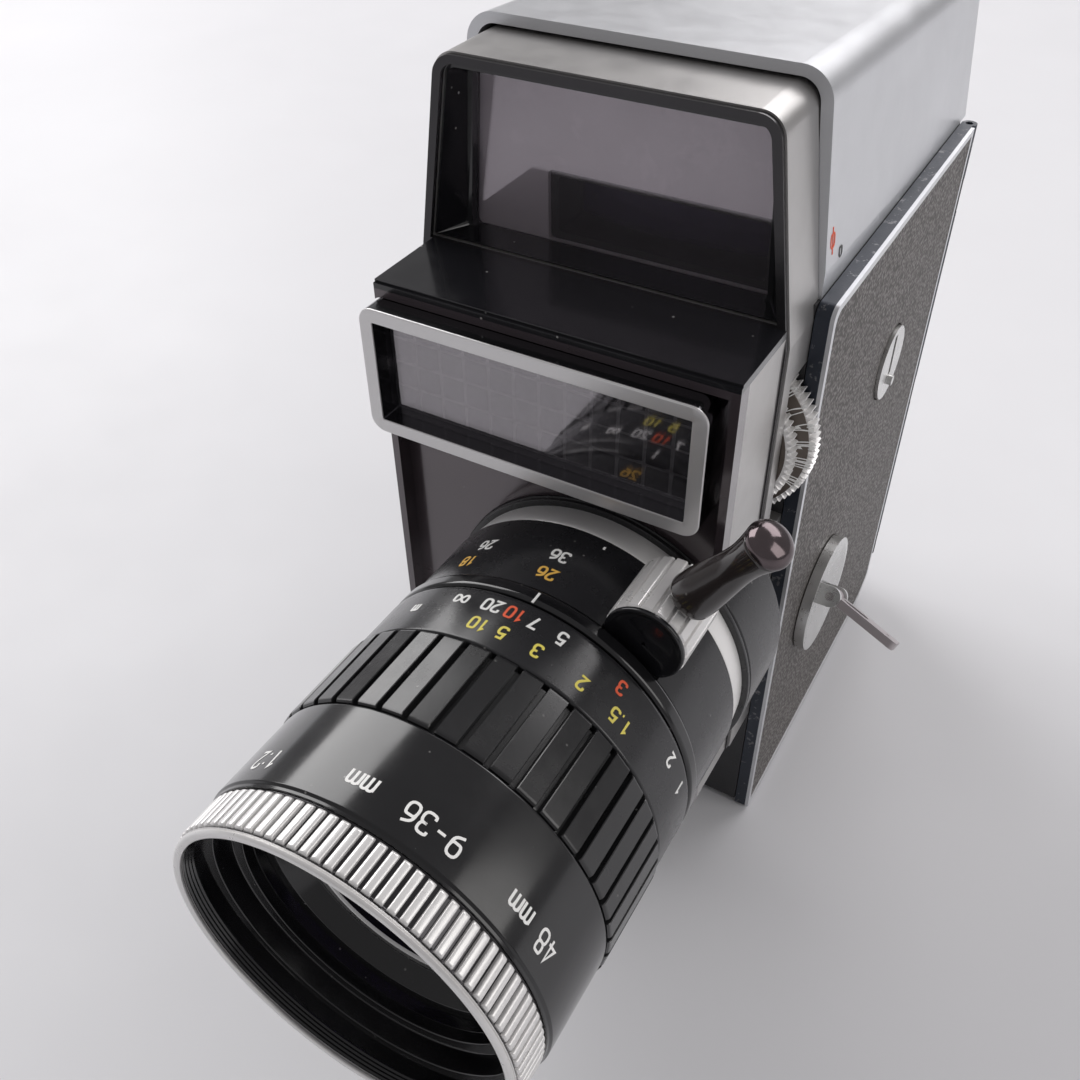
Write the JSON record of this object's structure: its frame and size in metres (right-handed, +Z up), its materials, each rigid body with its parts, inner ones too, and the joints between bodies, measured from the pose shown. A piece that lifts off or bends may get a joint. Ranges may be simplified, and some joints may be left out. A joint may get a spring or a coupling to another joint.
{
  "type": "cine camera",
  "caption": "Spring-driven double-eight cine camera with a zoom lens, selenium exposure cell, hooded finder, side dials and a hinged film door with a fold-out winding key.",
  "frame": {"origin": "on the table plane, below the film chamber's web and the spools' front edge", "axes": "+X towards the film door, -Y out of the lens, +Z up"},
  "size_m": [0.079, 0.1733, 0.1398],
  "materials": {
    "crinkle_black": "wrinkle",
    "satin_silver": "satin",
    "satin_grey": "satin",
    "gloss_black": "gloss",
    "lens_black": "satin gloss",
    "matt_black": "matt",
    "chrome": "polished",
    "satin_chrome": "satin",
    "bright_steel": "brushed",
    "door_paint": "satin",
    "leatherette": "fine grain",
    "window_glass": "clear",
    "coated_glass": "coated",
    "cell_glass": "moulded",
    "selenium": "satin",
    "rubber": "matt",
    "brass": "satin"
  },
  "bodies": {
    "body": {"chassis": "crinkle_black", "base_plate": "satin_silver", "tripod_bush": "bright_steel", "left_cover": "satin_silver", "left_leather": "leatherette", "cover_screws": "bright_steel", "top_housing": "satin_silver", "front_cover": "satin_grey", "hood_rim": "gloss_black", "hood_lining": "matt_black", "finder_window": "window_glass", "finder_tunnel": "matt_black", "finder_lens": "coated_glass", "eyepiece": "lens_black", "eyecup": "rubber", "front_block": "satin_grey", "shelf_plate": "gloss_black", "front_plate": "gloss_black", "cell_frame": "satin_chrome", "cell_window": "cell_glass", "selenium_cell": "selenium", "lens_boss": "lens_black", "lens_flange": "satin_chrome", "lens_tube": "matt_black", "index_ring": "lens_black", "relay_lens": "coated_glass", "film_gate": "bright_steel", "pressure_plate": "matt_black", "hinge_pin": "bright_steel", "mechanism_plate": "brass", "dial_shaft": "bright_steel"},
    "door": {"side_door": "door_paint", "door_trim": "satin_silver", "door_leather": "leatherette"},
    "door_lock": {"lock_disc": "satin_chrome"},
    "winder": {"winding_disc": "satin_chrome", "key_pin": "bright_steel"},
    "key": {"winding_key": "bright_steel"},
    "arbor": {"winding_arbor": "bright_steel"},
    "zoom_group": {"zoom_ring": "lens_black", "zoom_knob": "chrome", "knob_cap": "gloss_black", "zoom_lever": "lens_black", "lever_cap": "chrome"},
    "variator": {"variator_lens": "coated_glass"},
    "focus_group": {"focus_ring": "lens_black", "focus_grip": "lens_black", "front_barrel": "lens_black", "filter_ring": "chrome", "front_bezel": "satin_chrome", "front_cell": "matt_black", "front_element": "coated_glass"},
    "exposure_dial": {"speed_dial": "chrome"},
    "film_speed_dial": {"film_dial": "chrome"},
    "release": {"release_button": "chrome"},
    "mainspring": {"spring_barrel": "brass"},
    "shutter": {"shutter_disc": "matt_black"},
    "claw": {"film_claw": "bright_steel"},
    "supply": {"supply_spool": "satin_silver"},
    "takeup": {"takeup_spool": "matt_black"}
  },
  "joints": [
    {"name": "door_hinge", "type": "hinge", "parent": "body", "child": "door", "pos_m": [0.0302, 0.04075, 0.055], "axis": [0, 0, 1], "range_deg": [0, 105]},
    {"name": "lock_turn", "type": "hinge", "parent": "door", "child": "door_lock", "pos_m": [0.031, 0.0088, 0.0792], "axis": [1, 0, 0], "range_deg": [0, 90]},
    {"name": "winding_turn", "type": "hinge", "parent": "door", "child": "winder", "pos_m": [0.031, -0.0114, 0.0411], "axis": [1, 0, 0], "continuous": true},
    {"name": "key_fold", "type": "hinge", "parent": "winder", "child": "key", "pos_m": [0.03495, -0.0114, 0.0411], "axis": [0, 0.766, -0.6428], "range_deg": [-20, 70]},
    {"name": "arbor_turn", "type": "hinge", "parent": "body", "child": "arbor", "pos_m": [0, -0.0114, 0.0411], "axis": [1, 0, 0], "continuous": true},
    {"name": "zoom_turn", "type": "hinge", "parent": "body", "child": "zoom_group", "pos_m": [0.0088, -0.067, 0.0575], "axis": [0, 1, 0], "range_deg": [-70, 25]},
    {"name": "variator_slide", "type": "slide", "parent": "body", "child": "variator", "axis": [0, -1, 0], "range_m": [-0.009, 0.0035]},
    {"name": "focus_turn", "type": "hinge", "parent": "body", "child": "focus_group", "pos_m": [0.0088, -0.1, 0.0575], "axis": [0, 1, 0], "range_deg": [-30, 130]},
    {"name": "exposure_turn", "type": "hinge", "parent": "body", "child": "exposure_dial", "pos_m": [0.0179, -0.035, 0.0886], "axis": [0, 1, 0], "range_deg": [-120, 120]},
    {"name": "film_speed_turn", "type": "hinge", "parent": "body", "child": "film_speed_dial", "pos_m": [0.0179, -0.038, 0.0886], "axis": [0, 1, 0], "range_deg": [-120, 120]},
    {"name": "release_press", "type": "slide", "parent": "body", "child": "release", "axis": [0, 1, 0], "range_m": [0, 0.003], "stiffness_N_per_m": 400, "springref_m": -0.001},
    {"name": "mainspring_turn", "type": "hinge", "parent": "body", "child": "mainspring", "pos_m": [-0.01, -0.0114, 0.0411], "axis": [1, 0, 0], "continuous": true},
    {"name": "shutter_turn", "type": "hinge", "parent": "body", "child": "shutter", "pos_m": [-0.007, -0.035, 0.0575], "axis": [0, 1, 0], "continuous": true},
    {"name": "claw_pull", "type": "slide", "parent": "body", "child": "claw", "axis": [0, 0, -1], "range_m": [0, 0.0038]},
    {"name": "supply_turn", "type": "hinge", "parent": "body", "child": "supply", "pos_m": [0.012, 0.0146, 0.0812], "axis": [1, 0, 0], "continuous": true},
    {"name": "takeup_turn", "type": "hinge", "parent": "body", "child": "takeup", "pos_m": [0.012, 0.0146, 0.029], "axis": [1, 0, 0], "continuous": true}
  ],
  "couplings": [
    {"joint": "arbor_turn", "follows": "winding_turn", "ratio": 1},
    {"joint": "variator_slide", "follows": "zoom_turn", "m_per_rad": 0.007},
    {"joint": "shutter_turn", "follows": "mainspring_turn", "ratio": -8},
    {"joint": "supply_turn", "follows": "mainspring_turn", "ratio": 1.5},
    {"joint": "takeup_turn", "follows": "mainspring_turn", "ratio": 1.5}
  ]
}
